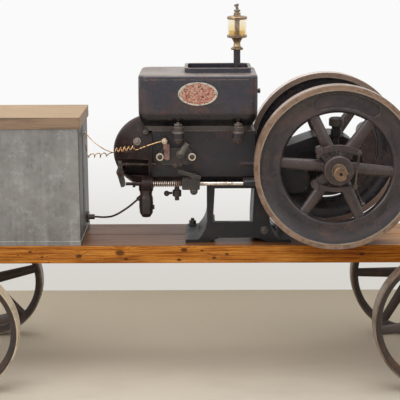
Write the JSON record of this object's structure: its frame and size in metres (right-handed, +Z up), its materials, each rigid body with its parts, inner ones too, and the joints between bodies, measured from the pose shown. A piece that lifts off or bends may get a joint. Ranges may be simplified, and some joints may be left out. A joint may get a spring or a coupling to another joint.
{
  "type": "hit and miss engine on truck",
  "caption": "Water-cooled stationary engine with spoked flywheels, push rod and governor, bolted to a plank truck on cast wheels with a battery box",
  "frame": {"origin": "on the floor under the middle of the deck", "axes": "+Z up, +X towards the flywheels, -Y towards the push rod side"},
  "size_m": [1.94, 0.691, 1.171],
  "materials": {
    "deck_wood": "varnished softwood planks with knots",
    "frame_wood": "plain dark timber",
    "lid_wood": "worn pale varnished board",
    "truck_iron": "dark iron with brown rust",
    "wheel_iron": "dark cast iron with a rusty tread",
    "galvanised": "dull grey galvanised sheet, stained",
    "engine_iron": "worn blue-black paint on cast iron",
    "flywheel_iron": "worn dark paint, rusty machined ring",
    "plate_paint": "worn red and cream plate, left blank",
    "oiler_brass": "aged brass",
    "oiler_glass": "amber glass",
    "insulator": "pinkish-brown moulded insulator",
    "dark_pipe": "blackened pipe and fittings",
    "bright_steel": "polished steel with brown stains",
    "copper_wire": "bare copper wire"
  },
  "bodies": {
    "truck": {"deck_planks": "deck_wood", "bolsters": "frame_wood", "rear_axle": "truck_iron", "king_pin": "truck_iron", "battery_box": "galvanised", "engine_base": "engine_iron", "cylinder_block": "engine_iron", "cylinder_head": "engine_iron", "water_hopper": "engine_iron", "hopper_top": "engine_iron", "hopper_bolts": "engine_iron", "name_plate": "plate_paint", "oiler_body": "oiler_brass", "oiler_glass": "oiler_glass", "igniter_plate": "engine_iron", "igniter_terminal": "insulator", "mixer": "engine_iron", "fuel_pipe": "dark_pipe", "drain_cock": "dark_pipe", "crankcase": "engine_iron", "bearing_caps": "engine_iron", "rod_spring": "bright_steel", "ignition_lead": "copper_wire", "ignition_slack": "copper_wire", "ignition_tail": "copper_wire", "ignition_pigtail": "copper_wire"},
    "rear_near_wheel": {"rear_wheel_near": "wheel_iron"},
    "rear_far_wheel": {"rear_wheel_far": "wheel_iron"},
    "front_axle": {"axle_block": "frame_wood", "front_axle": "truck_iron"},
    "front_near_wheel": {"front_wheel_near": "wheel_iron"},
    "front_far_wheel": {"front_wheel_far": "wheel_iron"},
    "lid": {"box_lid": "lid_wood"},
    "oiler_toggle": {"oiler_lever": "oiler_brass"},
    "rod": {"push_rod": "bright_steel", "trip_block": "engine_iron"},
    "rocker": {"rocker_arm": "engine_iron"},
    "valve": {"valve_stem": "bright_steel"},
    "cock_lever": {"cock_handle": "dark_pipe"},
    "crank": {"crankshaft": "bright_steel", "near_flywheel": "flywheel_iron", "far_flywheel": "flywheel_iron"},
    "weight": {"governor_weight": "flywheel_iron"},
    "link": {"governor_link": "bright_steel"},
    "lever": {"governor_lever": "flywheel_iron"}
  },
  "joints": [
    {"name": "crank_spin", "type": "hinge", "parent": "truck", "child": "crank", "pos_m": [0.41, 0, 0.684], "axis": [0, 1, 0], "continuous": true},
    {"name": "rear_near_roll", "type": "hinge", "parent": "truck", "child": "rear_near_wheel", "pos_m": [0.741, -0.282, 0.222], "axis": [0, 1, 0], "continuous": true},
    {"name": "rear_far_roll", "type": "hinge", "parent": "truck", "child": "rear_far_wheel", "pos_m": [0.741, 0.282, 0.222], "axis": [0, 1, 0], "continuous": true},
    {"name": "front_steer", "type": "hinge", "parent": "truck", "child": "front_axle", "pos_m": [-0.76, 0, 0.3], "axis": [0, 0, 1], "range_deg": [-25, 25]},
    {"name": "front_near_roll", "type": "hinge", "parent": "front_axle", "child": "front_near_wheel", "pos_m": [-0.76, -0.282, 0.197], "axis": [0, 1, 0], "continuous": true},
    {"name": "front_far_roll", "type": "hinge", "parent": "front_axle", "child": "front_far_wheel", "pos_m": [-0.76, 0.282, 0.197], "axis": [0, 1, 0], "continuous": true},
    {"name": "lid_lift", "type": "slide", "parent": "truck", "child": "lid", "axis": [0, 0, 1], "range_m": [0, 0.15]},
    {"name": "oiler_toggle", "type": "hinge", "parent": "truck", "child": "oiler_toggle", "pos_m": [0.109, 0, 1.157], "axis": [0, 1, 0], "range_deg": [0, 75]},
    {"name": "push_rod_slide", "type": "slide", "parent": "truck", "child": "rod", "axis": [-1, 0, 0], "range_m": [0, 0.008], "deforming": ["rod_spring"]},
    {"name": "rocker_swing", "type": "hinge", "parent": "truck", "child": "rocker", "pos_m": [-0.257, -0.118, 0.656], "axis": [0, 1, 0], "range_deg": [0, 13.3]},
    {"name": "valve_lift", "type": "slide", "parent": "truck", "child": "valve", "axis": [1, 0, 0], "range_m": [0, 0.0056]},
    {"name": "cock_turn", "type": "hinge", "parent": "truck", "child": "cock_lever", "pos_m": [-0.105, -0.056, 0.579], "axis": [1, 0, 0], "range_deg": [0, 90]},
    {"name": "governor_swing", "type": "hinge", "parent": "crank", "child": "weight", "pos_m": [0.355, -0.212, 0.738], "axis": [0, -1, 0], "range_deg": [0, 4]},
    {"name": "link_swing", "type": "hinge", "parent": "weight", "child": "link", "pos_m": [0.473, -0.212, 0.734], "axis": [0, -1, 0], "range_deg": [-4, 0]},
    {"name": "lever_swing", "type": "hinge", "parent": "crank", "child": "lever", "pos_m": [0.344, -0.212, 0.634], "axis": [0, -1, 0], "range_deg": [0, 4]}
  ],
  "couplings": [
    {"joint": "rocker_swing", "follows": "push_rod_slide", "rad_per_m": 28.9},
    {"joint": "valve_lift", "follows": "push_rod_slide", "ratio": 0.69},
    {"joint": "link_swing", "follows": "governor_swing", "ratio": -1},
    {"joint": "lever_swing", "follows": "governor_swing", "ratio": 1}
  ]
}
